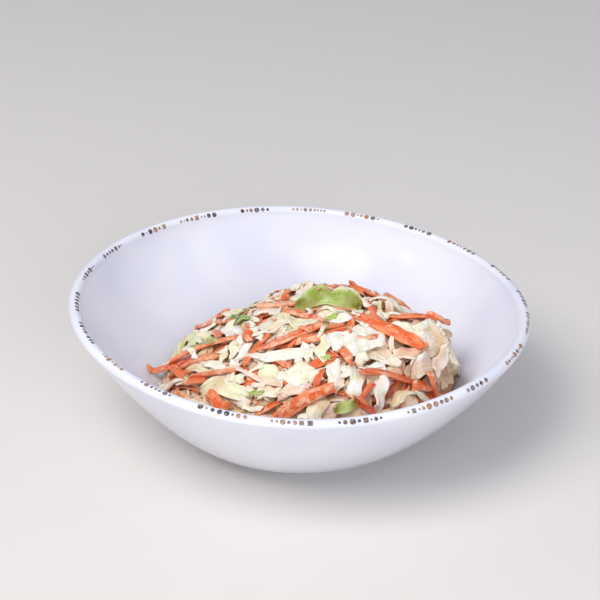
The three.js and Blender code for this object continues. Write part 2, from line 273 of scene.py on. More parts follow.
def bent(radius, angle, height):
    # a point of the turned shape, moved to where the waving bowl has it
    share = rimShare(radius)
    x = radius * np.cos(angle)
    y = radius * np.sin(angle) + bowl["footShift"] * (1 - share)
    return np.stack([x, y, height + waveHeight(angle) * share], axis=-1)


def bowlProfile():
    half = bowl["lipThickness"] / 2
    turn = np.linspace(math.pi, 0, 15)[1:-1]
    lip = np.stack([lipRadius + half + half * np.cos(turn), lipHeight + half * np.sin(turn)], axis=-1)
    foot, inside, under = bowl["footRadius"], bowl["footRadius"] - bowl["footWidth"], bowl["recess"]
    floor = [(r, bowl["floorTop"]) for r in np.linspace(0, bowl["floorRadius"], 7)[:-1]]
    ring = [(foot - 0.1, 1.6), (foot - 0.3, 0.8), (foot - 0.7, 0.25), (foot - 1.4, 0), (inside + 1.4, 0),
            (inside + 0.6, 0.3), (inside + 0.2, 0.8), (inside, under - 0.2), (inside - 0.4, under)]
    below = [(r, under) for r in np.linspace(inside - 4, 0, 4)]
    rows = bowl["rows"]
    return np.concatenate([floor, innerCurve(rows), lip, outerCurve(rows)[::-1], ring, below])


def glazeFinish():
    finish = Finish("whiteGlaze")
    at = finish.place()
    pool = finish.between(finish.noise(at, 22.0, 2.0), 0.35, 0.7)
    colour = finish.mixed(pool, bowl["glaze"], bowl["glazeDeep"])
    ripple = finish.noise(at, 60.0, 1.0)
    return finish.surface({
        "Base Color": colour,
        "Roughness": bowl["gloss"] + 0.05 * finish.noise(at, 90.0, 2.0),
        "IOR": 1.5,
        "Coat Weight": 0.3,
        "Coat Roughness": 0.05,
        "Normal": finish.bump(ripple, 0.12, 0.001),
    })


def makeBowl():
    profile, around = bowlProfile(), bowl["around"]
    middle = profile[1:-1]
    radius, angle = np.meshgrid(middle[:, 0], np.arange(around) * 2 * math.pi / around, indexing="ij")
    height = np.repeat(middle[:, 1:2], around, axis=1)
    points = bent(radius, angle, height).reshape(-1, 3)
    top = [0, bowl["footShift"], profile[0, 1]]
    bottom = [0, bowl["footShift"], profile[-1, 1]]
    corner, after = ringCorners(len(middle), around)
    walls = np.stack([corner[:-1], corner[1:], after[1:], after[:-1]], axis=-1).reshape(-1, 4)
    last = corner.size
    floor = np.stack([np.full(around, last), corner[0], after[0]], axis=-1)
    base = np.stack([np.full(around, last + 1), after[-1], corner[-1]], axis=-1)
    return meshPiece("china", np.concatenate([points, [top, bottom]]), [walls, floor, base], glazeFinish())


china = makeBowl()
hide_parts("bowl")
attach(china, "root")
print("bowl made")


# Small marks painted round the lip, in short groups

rimMarks = {
    "groups": 22,
    "gapShare": 0.34,  # of a group's stretch left bare
    "size": [0.9, 2.8],
    "insetMean": 4.37,  # from the lip's outer edge to the marks' middle
    "insetSide": -1.52,
    "insetBack": 1.88,
    "raise": 0.06,
    "seed": 12,
    "inks": [paint(92, 58, 34), paint(52, 42, 38), paint(158, 112, 60), paint(120, 96, 80)],
}


def lipPoint(angle, across, lift):
    # across is the way from the outer edge over the lip's round top
    half = bowl["lipThickness"] / 2
    roll = np.clip(across / half, 0, math.pi)
    radius = lipRadius + half + (half + lift) * np.cos(roll)
    return bent(radius, angle, lipHeight + (half + lift) * np.sin(roll))


def dotOutline():
    turn = np.linspace(0, 2 * math.pi, 15)[:-1]
    return np.stack([0.5 * np.cos(turn), 0.5 * np.sin(turn)], axis=-1)


def barOutline(wide, tall):
    x, y = wide / 2, tall / 2
    side = np.linspace(-1, 1, 4)[:-1]
    return np.concatenate([
        np.stack([side * x, np.full(3, -y)], -1), np.stack([np.full(3, x), side * y], -1),
        np.stack([-side * x, np.full(3, y)], -1), np.stack([np.full(3, -x), -side * y], -1)])


def addMark(heap, outline, angle, across, size, ink):
    # a thin closed slab that follows the lip, in rings from its edge to its middle
    rings = []
    for share, lift in ((1, -0.15), (1, 0), (0.75, 1), (0.5, 1), (0.25, 1), (0.02, 1), (0.02, -0.15)):
        shape = outline * share * size
        turn = angle + shape[:, 0] / bowl["rimRadius"]
        rings.append(lipPoint(turn, across - shape[:, 1], lift if lift < 0 else rimMarks["raise"]))
    corner, after = ringCorners(len(rings), len(outline))
    step = np.roll(corner, -1, axis=0)
    stepAfter = np.roll(after, -1, axis=0)
    faces = np.stack([corner, after, stepAfter, step], axis=-1).reshape(-1, 4)
    points = np.concatenate(rings)
    colours = np.tile([*ink, 1.0], (len(points), 1))
    heap.add(points, faces, colours, np.zeros_like(points), np.zeros(len(points)))


def inkFinish():
    finish = Finish("underglazeInk")
    wear = finish.between(finish.noise(finish.place(), 900.0, 2.0), 0.35, 0.75)
    return finish.surface({
        "Base Color": finish.mixed(wear * 0.35, finish.attribute("tint"), bowl["glaze"]),
        "Roughness": 0.25,
        "Coat Weight": 0.3,
        "Coat Roughness": 0.08,
    })


def makeMarks():
    draw = np.random.default_rng(rimMarks["seed"])
    heap = Heap()
    turned = barOutline(0.7, 0.7) @ np.array([[0.707, -0.707], [0.707, 0.707]])
    shapes = [dotOutline(), dotOutline(), barOutline(0.8, 0.8), turned]
    stretch = 2 * math.pi / rimMarks["groups"]
    for group in range(rimMarks["groups"]):
        angle = (group + 0.1 * draw.random()) * stretch
        end = (group + 1 - rimMarks["gapShare"] * (0.7 + 0.6 * draw.random())) * stretch
        first = draw.integers(len(rimMarks["inks"]))
        while angle < end:
            size = draw.uniform(*rimMarks["size"])
            inset = (rimMarks["insetMean"] + rimMarks["insetSide"] * math.cos(angle)
                     + rimMarks["insetBack"] * math.sin(angle))
            outline = shapes[draw.integers(len(shapes))]
            ink = rimMarks["inks"][(first + draw.integers(2)) % len(rimMarks["inks"])]
            angle += 0.5 * size / bowl["rimRadius"]
            addMark(heap, outline, angle, inset, size, ink)
            angle += (0.5 * size + draw.uniform(0.5, 1.0)) / bowl["rimRadius"]
    return heap.piece("rimMarks", inkFinish())


marks = makeMarks()
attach(marks, "root")
print("rim marks made")


# The heap

mound = {
    "x": 0.0,
    "y": -3.0,
    "halfWidth": 72.0,
    "halfDepth": 62.0,
    "base": 13.0,
    "rise": 46.0,
    "roundness": 0.6,
    "lean": 0.15,
    "lump": 1.3,
    "lumpSize": 8.5,
    "shoulderX": 60.0,  # steep right-hand side
    "shoulderY": -9.0,
    "shoulderSize": 18.0,
    "shoulderRise": 13.0,
    "gap": 0.45,  # between slaw and glaze
    "sink": 0.4,  # pieces are pressed this far into what they lie on
    "coreDepth": 9.0,  # the plain core lies this far under the top
    "fillFrom": 10.0,  # the filling starts this far under the top
    "fillDepth": 7.0,  # and comes up to this far under it
    "fillPieces": 520,
    "fillTries": 60,
    "fillSlack": 0.6,
    "fillSeed": 3,
    # darkens the filling's colours a little: painted shade for the pieces that lie deep in the heap
    "fillPaintedShade": (1, 0.98, 0.93),
    "buried": 3.0,  # filling that lies wholly deeper than this can't be seen
    "scattered": 34,
    "scatterTries": 12,
    "scatterReach": 0.87,
    "cabbageBelow": 0.46,  # the draw below which a scattered piece is cabbage, or else carrot
    "carrotBelow": 0.88,
    "seed": 7,
    "gentle": 0.9,  # the steepest slope that small bits stay on
    "bitTries": 25,
    "hollowReach": 4,  # how far round a spot its hollow is measured
    "crumbs": 36,
    "crumbSeed": 21,
    "gapCrumbs": 34,
    "gapCrumbSeed": 25,
    "dollops": 36,
    "dollopSeed": 23,
    "drapePasses": 44,
    "darkFrom": 0.9,  # depth between the pieces at which the painted shade starts
    "darkOver": 3.4,  # and over what further depth it comes to its full
    "trendPasses": 24,  # of smoothing, for the ground that the depth is measured from
    "peakPasses": 3,  # cells round a point in which the highest one counts
    "cutEdge": 1.1,  # width of the pale edge of a piece, partly dressing and partly a painted highlight
}

# How each form is cut. Length, width, bend and taper are as in the solids.
plainForm = {
    "straight": 0,  # how far a piece keeps to a flat plane, 0 to 1
    "cup": (0, 0), "crease": 0, "endLift": 0, "roll": 0, "wedge": 0, "domed": 0, "spacing": 1.2,
}
forms = {
    "cabbage": {
        **plainForm,
        "long": (16, 28), "wide": (8, 14), "thick": 1.1, "bend": 0.5, "taper": 0.5, "ripple": 0.9,
        "calm": 0.8, "corners": 5, "side": (0.55, 1.12), "end": (0.05, 0.75), "slant": 0.5, "jag": 0.03,
        "edge": (0.35, 0.9), "cup": (-0.05, 0.08), "crease": 0.07, "endLift": 1.2, "crinkle": 0.15,
    },
    "carrot": {
        **plainForm,
        "long": (22, 38), "wide": (3.8, 5.4), "thick": 2.5, "bend": 0.3, "taper": 0.25, "ripple": 0,
        "calm": 0.92, "straight": 0.65, "corners": 3, "side": (0.8, 1.06), "end": (0.05, 0.75), "slant": 0.9,
        "jag": 0.02, "edge": (0.5, 0.9), "endLift": 0.4, "crinkle": 0.12, "roll": 0.35, "wedge": 0.35,
        "domed": 0.35,
    },
    "leaf": {
        **plainForm,
        "long": (12, 20), "wide": (6, 9), "thick": 0.8, "bend": 0.4, "taper": 0.6, "ripple": 1.0,
        "calm": 0.65, "corners": 6, "side": (0.5, 1.15), "end": (0.05, 0.5), "slant": 0.4, "jag": 0.04,
        "edge": (0.4, 0.95), "cup": (-0.05, 0.1), "crease": 0.12, "endLift": 0.8, "crinkle": 0.22,
        "spacing": 1.1,
    },
    "dollop": {
        **plainForm,
        "long": (3, 8), "wide": (2, 4.5), "thick": 1.3, "bend": 0.9, "taper": 0.2, "ripple": 0, "calm": 0.2,
        "corners": 2, "side": (0.7, 1.1), "end": (0.6, 0.9), "slant": 0, "jag": 0.03, "edge": (0.1, 0.5),
        "crinkle": 0.1, "domed": 0.3, "spacing": 0.8,
    },
}
# broad flat flakes, stiffer than the rest
forms["plate"] = {
    **forms["cabbage"],
    "ripple": 0.45, "calm": 0.92, "straight": 0.6, "side": (0.8, 1.1), "end": (0.45, 0.95), "cup": (0, 0.02),
    "crease": 0.03, "endLift": 0.3,
}

# What each look is cut from and its colour
looks = {
    "white": ("cabbage", paint(252, 247, 234)),
    "cream": ("cabbage", paint(252, 242, 218)),
    "pale": ("cabbage", paint(242, 240, 202)),
    "yellow": ("cabbage", paint(247, 236, 188)),
    "rib": ("cabbage", paint(247, 235, 219)),
    "pink": ("cabbage", paint(247, 206, 180)),
    "widePale": ("plate", paint(246, 245, 224)),
    "wideWhite": ("plate", paint(252, 247, 236)),
    "orange": ("carrot", paint(230, 104, 38)),
    "coated": ("carrot", paint(240, 158, 108)),
    # deep: a darker orange, a shaded copy of the carrot colour, painted shade for carrots that lie in shadow
    "deep": ("carrot", paint(206, 76, 26)),
    "green": ("leaf", paint(150, 178, 70)),
    "dark": ("leaf", paint(104, 134, 42)),
    "faded": ("leaf", paint(224, 226, 172)),
    "stem": ("carrot", paint(214, 186, 132)),
    "dressing": ("dollop", paint(250, 238, 216)),
}

# The pieces of the solids that show best from the front, the lowest first: look, place on the plan, turn in
# degrees, length, width and, for those that stand up, the rise of the middle, the far end and the far edge
shown = [
    ("cream", (-63, -12), -30, 10, 6),
    ("white", (-57, -18), -40, 17, 6),
    ("yellow", (-45, -21), -50, 20, 5),
    ("cream", (-41, -3), -20, 14, 9),
    ("white", (-33, -2), -60, 16, 9),
    ("pale", (-33, -37), -36, 27, 10),
    ("white", (-38, -24), -48, 18, 6),
    ("pale", (-13, -37), -30, 14, 8),
    ("cream", (-13, -46), -20, 13, 8),
    ("cream", (-1, -42), 0, 18, 14),
    ("pale", (-13, -11), -40, 18, 9),
    ("yellow", (1, -12), -25, 18, 9),
    ("cream", (-28, -18), -57, 12, 6),
    ("white", (-25, -22), 58, 12, 5),
    ("pale", (10, -32), 80, 15, 7),
    ("rib", (15, -44), 87, 17, 9),
    ("white", (35, -46), 76, 17, 8),
    ("yellow", (45, -44), 42, 16, 8),
    ("pale", (55, -39), 28, 11, 5),
    ("widePale", (58, -19), 10, 27, 26, (0, 6, 0)),
    ("pink", (49, -28), 5, 18, 9),
    ("wideWhite", (25, -26), 24, 27, 17),
    ("white", (24, -46), 90, 19, 8),
    ("white", (31, -38), 16, 11, 5),
    ("white", (19, -10), 10, 10, 6),
    ("white", (28, -12), -80, 12, 6),
    ("cream", (39, 6), -10, 16, 5, (7, 0, 0)),
    ("deep", (2, -6), -25, 19, 4),
    ("green", (13, 2), -4, 31, 8, (0, 0, 8)),
    ("green", (-45, -5), 10, 12, 7),
    ("dark", (39, -11), 46, 9, 6),
    ("coated", (-48, -13), -30, 30, 5),
    ("orange", (-55, -15), -60, 14, 5),
    ("orange", (-47, -27), -25, 13, 5),
    ("orange", (-43, -8), -18, 45, 3.6, (1, 0, 0)),
    ("orange", (-39, -29), -28, 25, 3),
    ("orange", (-37, -41), -56, 11, 5),
    ("orange", (-23, -10), 89, 14, 5.5),
    ("orange", (-20, -25), 56, 22, 3.6),
    ("white", (-9, -31), -7, 31, 7),
    ("pink", (-11, -14), 23, 12, 6),
    ("pink", (-20, -38), -32, 30, 4),
    ("orange", (-3, -22), 18, 31, 6),
    ("pink", (-2, -49), 1, 16, 5),
    ("orange", (-1, -53), 9, 33, 6.5),
    ("orange", (33, -3), -71, 19, 4.5),
    ("deep", (38, -39), 20, 25, 4.5),
    ("coated", (47, -1), -10, 13, 4),
    ("orange", (52, -6), -8, 22, 4.2, (0, 2, 0)),
    ("orange", (64, -6), 12, 18, 3.8, (0, 6, 0)),
    ("orange", (42, -19), -28, 41, 6),
]

# Smaller ones that only the looks have
shownSmall = [
    ("yellow", (-34, -20), 67, 11, 4),
    ("cream", (-21, -49), -26, 10, 4),
    ("cream", (63, -31), 20, 10, 5),
    ("white", (-28, -6), -70, 11, 5),
    ("green", (-19, -45), -20, 7, 5),
    ("green", (20, -55), 7, 11, 4),
    ("dark", (-41, -8), -40, 8, 5),
    ("dark", (-48, -5), -20, 9, 3.5),
    ("dark", (56, -2), 10, 4, 3),
    ("green", (14, -9), 10, 6, 4),
    ("green", (11, -37), 0, 5, 3.5),
    ("stem", (13, -2), -5, 26, 0.8),
    ("orange", (-38, -1), -70, 9, 4.5),
    ("orange", (8, -45), 66, 11, 3.2),
    ("orange", (21, -36), -52, 9, 4),
    ("deep", (29, -49), 52, 11, 3.2),
    ("deep", (28, -54), 0, 10, 3.8),
    ("orange", (53, -36), 31, 9, 5),
    ("orange", (60, -32), -10, 5, 3),
    ("coated", (2, -21), -40, 6, 3),
    ("white", (56, -31), 20, 15, 8),
    ("wideWhite", (63, -26), 55, 13, 8),
    ("orange", (59, -34), -20, 8, 3),
    ("orange", (-33, -45), 10, 6, 3),
]


class Draws:
    # the solids' own generator, so that the scattered pieces lie where the solids have them
    def __init__(self, seed):
        self.state = seed

    def __call__(self):
        whole = 0xFFFFFFFF
        self.state = (self.state + 0x6D2B79F5) & whole
        t = ((self.state ^ (self.state >> 15)) * (1 | self.state)) & whole
        t = ((t + (((t ^ (t >> 7)) * (61 | t)) & whole)) ^ t) & whole
        return (t ^ (t >> 14)) / 4294967296


wallSamples = innerCurve(60)


def bowlTop(x, y):
    radius = np.hypot(x, y)
    for _ in range(8):
        radius = np.hypot(x, y - bowl["footShift"] * (1 - rimShare(radius)))
    share = rimShare(radius)
    angle = np.arctan2(y - bowl["footShift"] * (1 - share), x)
    return np.interp(radius, wallSamples[:, 0], wallSamples[:, 1]) + waveHeight(angle) * share


def liningTop(x, y):
    return bowlTop(x, y) + mound["gap"]


def moundTop(x, y):
    across = (x - mound["x"]) / mound["halfWidth"]
    deep = (y - mound["y"]) / mound["halfDepth"]
    fall = np.clip(1 - across * across - deep * deep, 0, 1)
    dome = mound["base"] + mound["rise"] * fall ** mound["roundness"] + mound["lean"] * (x - mound["x"])
    beside = np.clip(np.hypot(x - mound["shoulderX"], y - mound["shoulderY"]) / mound["shoulderSize"], 0, 1)
    heaped = mound["shoulderRise"] * (1 - beside * beside) ** 2
    u, v = x / mound["lumpSize"], y / mound["lumpSize"]
    lumps = np.sin(u + 2 * np.sin(0.6 * v)) * np.sin(v + 1.5 * np.sin(0.7 * u))
    return dome + heaped + mound["lump"] * lumps * np.sqrt(fall)


class HeightField:
    # heights of everything laid so far
    reach = 87.0
    cell = 0.75

    def __init__(self, height):
        self.side = int(round(2 * self.reach / self.cell)) + 1
        line = np.arange(self.side) * self.cell - self.reach
        self.x, self.y = np.meshgrid(line, line)
        self.values = height(self.x, self.y)

    def at(self, x, y, values=None):
        values = self.values if values is None else values
        u = np.clip((x + self.reach) / self.cell, 0, self.side - 1.001)
        v = np.clip((y + self.reach) / self.cell, 0, self.side - 1.001)
        i, j = u.astype(int), v.astype(int)
        u, v = u - i, v - j
        near = values[j, i] * (1 - u) + values[j, i + 1] * u
        far = values[j + 1, i] * (1 - u) + values[j + 1, i + 1] * u
        return near * (1 - v) + far * v

    def cover(self, points):
        i = np.clip(np.round((points[..., 0] + self.reach) / self.cell).astype(int), 0, self.side - 1)
        j = np.clip(np.round((points[..., 1] + self.reach) / self.cell).astype(int), 0, self.side - 1)
        np.maximum.at(self.values, (j.ravel(), i.ravel()), points[..., 2].ravel())


field = HeightField(lambda x, y: np.maximum(moundTop(x, y) - mound["fillFrom"], liningTop(x, y)))
liningField = liningTop(field.x, field.y)
slopeY, slopeX = np.gradient(moundTop(field.x, field.y), field.cell)
steepness = np.hypot(slopeX, slopeY)
heapSpots = np.argwhere((((field.x - mound["x"]) / mound["halfWidth"]) ** 2
                         + ((field.y - mound["y"]) / mound["halfDepth"]) ** 2 < 0.93)
                        & (moundTop(field.x, field.y) - mound["fillDepth"] > liningField + 1))


def stretchOver(x, y, dx, dy, steepest):
    # a step over the ground covers less of the plan where the ground slopes
    slope = field.at(x, y, slopeX) * dx + field.at(x, y, slopeY) * dy
    return 1 / np.hypot(1, np.clip(slope, -steepest, steepest))


def centreLine(piece, steps=12):
    step = piece["long"] / steps
    line = []
    for direction in (-1, 1):
        x, y, turn = float(piece["x"]), float(piece["y"]), piece["turn"]
        spots = []
        for _ in range(steps // 2):
            dx, dy = math.cos(turn) * direction, math.sin(turn) * direction
            plain = step * float(stretchOver(np.float64(x), np.float64(y), dx, dy, 2))
            x += dx * plain
            y += dy * plain
            turn += direction * piece["bend"] * step / piece["long"]
            spots.append((x, y, turn))
        line.append(spots)
    middle = (float(piece["x"]), float(piece["y"]), piece["turn"])
    return np.array(line[0][::-1] + [middle] + line[1])


def gridLine(size, form):
    # places from -1 to 1 with a narrow row at both ends, and how full the piece is at each
    count = max(2, int(round(size / form["spacing"])))
    rim = min(0.9 / size, 0.2)
    middle = np.linspace(1.7 * rim - 1, 1 - 1.7 * rim, count)
    places = np.concatenate([[-1, 0.7 * rim - 1], middle, [1 - 0.7 * rim, 1]])
    outer, inner = form["edge"]
    return places, np.concatenate([[outer, inner], np.ones(count), [inner, outer]])


def outlineOf(piece, form, u, v, draw):
    # the plan of a piece: straight cuts between corners, ends cut aslant, edges a little ragged
    line = centreLine(piece)
    spots = np.linspace(-1, 1, len(line))
    cx, cy, turn = (np.interp(u, spots, line[:, k])[:, None] for k in range(3))
    sideX, sideY = -np.sin(turn), np.cos(turn)
    narrow = 1 - form["taper"] * np.abs(u[:, None]) ** 3
    half = piece["wide"] / 2 * narrow * stretchOver(cx, cy, sideX, sideY, 1.5)
    left, right = (np.interp(u, places, widths) * (1 + form["jag"] * draw.standard_normal(len(u)))
                   for places, widths in piece["sides"])
    across = np.where(v[None, :] < 0, left[:, None], right[:, None]) * v[None, :] * half
    sway = 0 if piece["form"] == "carrot" else 0.1 * piece["wide"] * np.sin(5 * u[:, None] + piece["phase"])
    slant = np.interp(u, [-1, -0.5, 0.5, 1], [piece["slant"][0], 0, 0, piece["slant"][1]])[:, None]
    along = v[None, :] * half * (piece["skew"] + slant)
    return cx + sideX * (across + sway) + sideY * along, cy + sideY * (across + sway) - sideX * along


def drape(under, u, v, passes):
    # a taut sheet over what is under it
    lie = under.copy()
    gapU, gapV = np.diff(u), np.diff(v)
    weightU = (gapU[1:] / (gapU[1:] + gapU[:-1]))[:, None]
    weightV = (gapV[1:] / (gapV[1:] + gapV[:-1]))[None, :]
    for turn in range(passes):
        endwise, sidewise = lie.copy(), lie.copy()
        endwise[1:-1] = lie[:-2] * weightU + lie[2:] * (1 - weightU)
        sidewise[:, 1:-1] = lie[:, :-2] * weightV + lie[:, 2:] * (1 - weightV)
        lie = (endwise + sidewise) / 2
        if turn < passes - 2:
            lie = np.maximum(under, lie)
    return lie


def calmed(lie, u, v, calm, straight):
    # the sheet drawn towards the nearest plain curve, which gives stiff pieces their clean form
    a, b = (line.ravel() for line in np.meshgrid(u, v, indexing="ij"))
    terms = np.stack([np.ones_like(a), a, b, a * a, a * b, b * b, a ** 3], axis=-1)
    flat = (terms[:, :3] @ np.linalg.lstsq(terms[:, :3], lie.ravel(), rcond=None)[0]).reshape(lie.shape)
    curved = (terms @ np.linalg.lstsq(terms, lie.ravel(), rcond=None)[0]).reshape(lie.shape)
    plain = flat * straight + curved * (1 - straight)
    return lie * (1 - calm) + calm * (plain + 0.2 * (lie - plain).max())


def standing(piece, u, v):
    # the rise of a piece that stands up: its middle, its far end, or its far edge in two peaks
    lift, tip, curl = piece["stand"]
    u, v = u[:, None], v[None, :]
    peaks = 0.55 + 0.45 * np.abs(np.sin(math.pi * u))
    return lift * (1 - u * u) + tip * (u + 1) / 2 + curl * (v + 1) / 2 * peaks


def poseOf(piece, form, u, v, draw):
    # how far each point stands off the plain sheet: waves, curls and creases, less on small pieces
    u, v = u[:, None], v[None, :]
    wide = piece["wide"]
    size = min(1, wide / 9)
    height = size * form["ripple"] * (0.4 + 0.6 * np.abs(v)) * np.sin(3.2 * u + piece["phase"] + 1.5 * v)
    cup = piece["cup"] * wide
    height = height + (cup * v * v if cup > 0 else cup * (v * v - 1))
    height = height + piece["crease"] * wide * (1 - np.abs(v - piece["fold"])) * (1 - u * u)
    height = height + size * piece["endLift"] * np.clip(piece["endSide"] * u - 0.3, 0, 1) ** 2 * 2
    roll = piece["roll"] + piece["twist"] * u
    height = height + (roll * v + abs(piece["roll"])) * wide / 2
    for _ in range(3):
        angle, length = draw.uniform(0, 2 * math.pi), draw.uniform(4, 9)
        phase = draw.uniform(0, 2 * math.pi)
        way = u * piece["long"] / 2 * math.cos(angle) + v * wide / 2 * math.sin(angle)
        height = height + form["crinkle"] * np.sin(2 * math.pi * way / length + phase)
    return height - 0.6 * height.mean()


def normalsOf(grid):
    normal = np.cross(np.gradient(grid, axis=0), np.gradient(grid, axis=1))
    normal /= np.linalg.norm(normal, axis=-1, keepdims=True) + 1e-9
    return normal * np.sign(normal[..., 2:3] + 1e-9)


def upsampler(places, spacing):
    # weights that resample values at the places every so many millimetres
    wanted = np.linspace(-1, 1, max(3, int(math.ceil(spacing)) + 1))
    return np.stack([np.interp(wanted, places, row) for row in np.eye(len(places))], axis=1)


def lay(piece, heap):
    # drapes a piece over the field, adds it to a heap and raises the field
    form = forms[piece["form"]]
    draw = np.random.default_rng(piece["number"])
    long, wide, thick = piece["long"], piece["wide"], piece["thick"]
    u, fullU = gridLine(long, form)
    v, fullV = gridLine(wide, form)
    x, y = outlineOf(piece, form, u, v, draw)
    lie = drape(field.at(x, y), u, v, mound["drapePasses"])
    height = calmed(lie, u, v, form["calm"], form["straight"]) + standing(piece, u, v) - mound["sink"]
    base = np.stack([x, y, height], axis=-1)
    base += normalsOf(base) * poseOf(piece, form, u, v, draw)[..., None]
    base[..., 2] = np.maximum(base[..., 2], field.at(base[..., 0], base[..., 1], liningField))
    normal = normalsOf(base)
    section = (1 + piece["wedge"] * v) * (1 - form["domed"] * v * v)
    full = (np.minimum(fullU[:, None], fullV[None, :]) * section)[..., None] * thick / 2
    core = base + normal * thick / 2
    top, bottom = core + normal * full, core - normal * full
    rows, columns = x.shape
    corner = np.arange(rows * columns).reshape(rows, columns)
    rim = np.concatenate([corner[:-1, 0], corner[-1, :-1], corner[:0:-1, -1], corner[0, :0:-1]])
    after = np.roll(rim, -1)
    lower = rows * columns
    faces = np.concatenate([gridFaces(rows, columns), gridFaces(rows, columns, lower, True),
                            np.stack([rim, rim + lower, after + lower, after], axis=-1)])
    along, across = np.broadcast_arrays(u[:, None] * long / 2, v[None, :] * wide / 2)
    grain = np.stack([along, across, np.full(x.shape, piece["phase"] * 10)], axis=-1).reshape(-1, 3)
    fromEdge = np.minimum(long / 2 - np.abs(along), wide / 2 - np.abs(across)).reshape(-1)
    edge = np.clip(1 - fromEdge / mound["cutEdge"], 0, 1)
    colours = np.tile([*piece["colour"], piece["coat"]], (2 * lower, 1))
    points = np.concatenate([top.reshape(-1, 3), bottom.reshape(-1, 3)])
    heap.add(points, faces, colours, np.concatenate([grain, grain]), np.concatenate([edge, edge]))
    denseU = upsampler(u, long / (0.8 * field.cell))
    denseV = upsampler(v, wide / (0.8 * field.cell))
    field.cover(np.einsum("au,uvk,bv->abk", denseU, top, denseV))


def tinted(colour, draw, spread):
    # a piece's own shade of its look
    value = 1 + spread * (draw.random() - 0.5)
    shift = spread * 0.5 * (draw.random(3) - 0.5)
    return tuple(float(np.clip(c * (value + s), 0, 1)) for c, s in zip(colour, shift))


def cutSides(form, draw):
    # both sides of a piece: where its corners are and how wide it is there
    sides = []
    for _ in range(2):
        places = draw.uniform(0.35, 0.85, form["corners"]) * np.resize([-1, 1], form["corners"])
        places = np.concatenate([[-1], np.sort(places), [1]])
        widths = draw.uniform(*form["side"], len(places))
        widths[[0, -1]] = draw.uniform(*form["end"], 2)
        sides.append((places, widths))
    return sides


def cutPiece(look, draw, place, turn, long, wide, bends, stand=(0, 0, 0), coat=(0.1, 0.6)):
    # a piece with the small irregularities that only the looks have
    kind, colour = looks[look]
    form = forms[kind]
    bend, skew, phase = bends
    return {
        "form": kind, "x": place[0], "y": place[1], "turn": turn, "long": long, "wide": wide,
        "bend": bend, "skew": skew, "phase": phase, "stand": stand,
        "thick": form["thick"] * draw.uniform(0.85, 1.15) * min(1, 0.55 + wide / 14),
        "sides": cutSides(form, draw),
        "slant": form["slant"] * draw.uniform(-1, 1, 2),
        "cup": draw.uniform(*form["cup"]),
        "crease": form["crease"] * draw.uniform(-1, 1),
        "fold": draw.uniform(-0.4, 0.4),
        "endLift": form["endLift"] * draw.random() ** 2,
        "endSide": draw.choice([-1, 1]),
        "roll": form["roll"] * draw.uniform(-1, 1),
        "twist": form["roll"] * draw.uniform(-1, 1),
        "wedge": form["wedge"] * draw.uniform(-1, 1),
        "colour": tinted(colour, draw, 0.09),
        "coat": draw.uniform(*coat),
        "number": int(draw.integers(1 << 30)),
    }


def solidBends(draws, kind):
    bend = forms[kind]["bend"] * (2 * draws() - 1)
    skew = 0.8 * (draws() - 0.5)
    return bend, skew, 2 * math.pi * draws()


def ownBends(draw, kind):
    return forms[kind]["bend"] * draw.uniform(-1, 1), draw.uniform(-0.4, 0.4), draw.uniform(0, 2 * math.pi)


lookChoice = {
    "cabbage": (["white", "cream", "pale", "yellow", "rib", "pink"], [0.32, 0.24, 0.18, 0.1, 0.08, 0.08]),
    # deep carrots carry the painted-shade copy of the orange
    "carrot": (["orange", "coated", "deep"], [0.62, 0.25, 0.13]),
    "leaf": (["green", "dark", "faded"], [0.35, 0.25, 0.4]),
    "dollop": (["dressing"], [1]),
}


def lookFor(kind, draw):
    names, shares = lookChoice[kind]
    return str(draw.choice(names, p=shares))


def scatteredPieces(draws, draw, taken):
    # the solids' rule: each at the barest of a few random spots, the largest laid first
    spots = list(taken)
    pieces = []
    for _ in range(mound["scattered"]):
        best = (-1, 0, 0)
        for _ in range(mound["scatterTries"]):
            angle = 2 * math.pi * draws()
            far = math.sqrt(draws()) * mound["scatterReach"]
            x = mound["x"] + far * mound["halfWidth"] * math.cos(angle)
            y = mound["y"] + far * mound["halfDepth"] * math.sin(angle)
            room = min(math.hypot(px - x, py - y) for px, py in spots)
            if room > best[0]:
                best = (room, x, y)
        spots.append(best[1:])
        chance = draws()
        orCarrot = "carrot" if chance < mound["carrotBelow"] else "leaf"
        kind = "cabbage" if chance < mound["cabbageBelow"] else orCarrot
        turn = math.pi * draws()
        ranges = forms[kind]["long"], forms[kind]["wide"]
        long, wide = (low + (high - low) * draws() for low, high in ranges)
        bends = solidBends(draws, kind)
        pieces.append(cutPiece(lookFor(kind, draw), draw, best[1:], turn, long, wide, bends))
    return sorted(pieces, key=lambda piece: -piece["long"] * piece["wide"])


# Pieces that only the looks have, under the shown pieces and between them: the share of each form, and its
# least and greatest length and width
fillSizes = {
    "cabbage": (0.58, (9, 24), (4, 11)),
    "carrot": (0.38, (9, 30), (2.6, 4.8)),
    "leaf": (0.04, (6, 13), (3, 6)),
}
crumbSizes = {
    "cabbage": (0.58, (4, 11), (2, 5)),
    "carrot": (0.38, (4, 12), (1.4, 3)),
    "leaf": (0.04, (2, 6), (1.5, 3.5)),
}
dollopSizes = {"dollop": (1.0, (3, 8), (2, 4.5))}
thinCoat = (0.05, 0.5)  # least and most dressing on the pieces that lie on top


def looseTurn(draw, j, i):
    # any way on the flat, more along the slope where it is steep
    level = math.atan2(slopeX[j, i], -slopeY[j, i])
    return level + draw.uniform(-0.5, 0.5) * math.pi / (1 + 1.5 * steepness[j, i] ** 2)


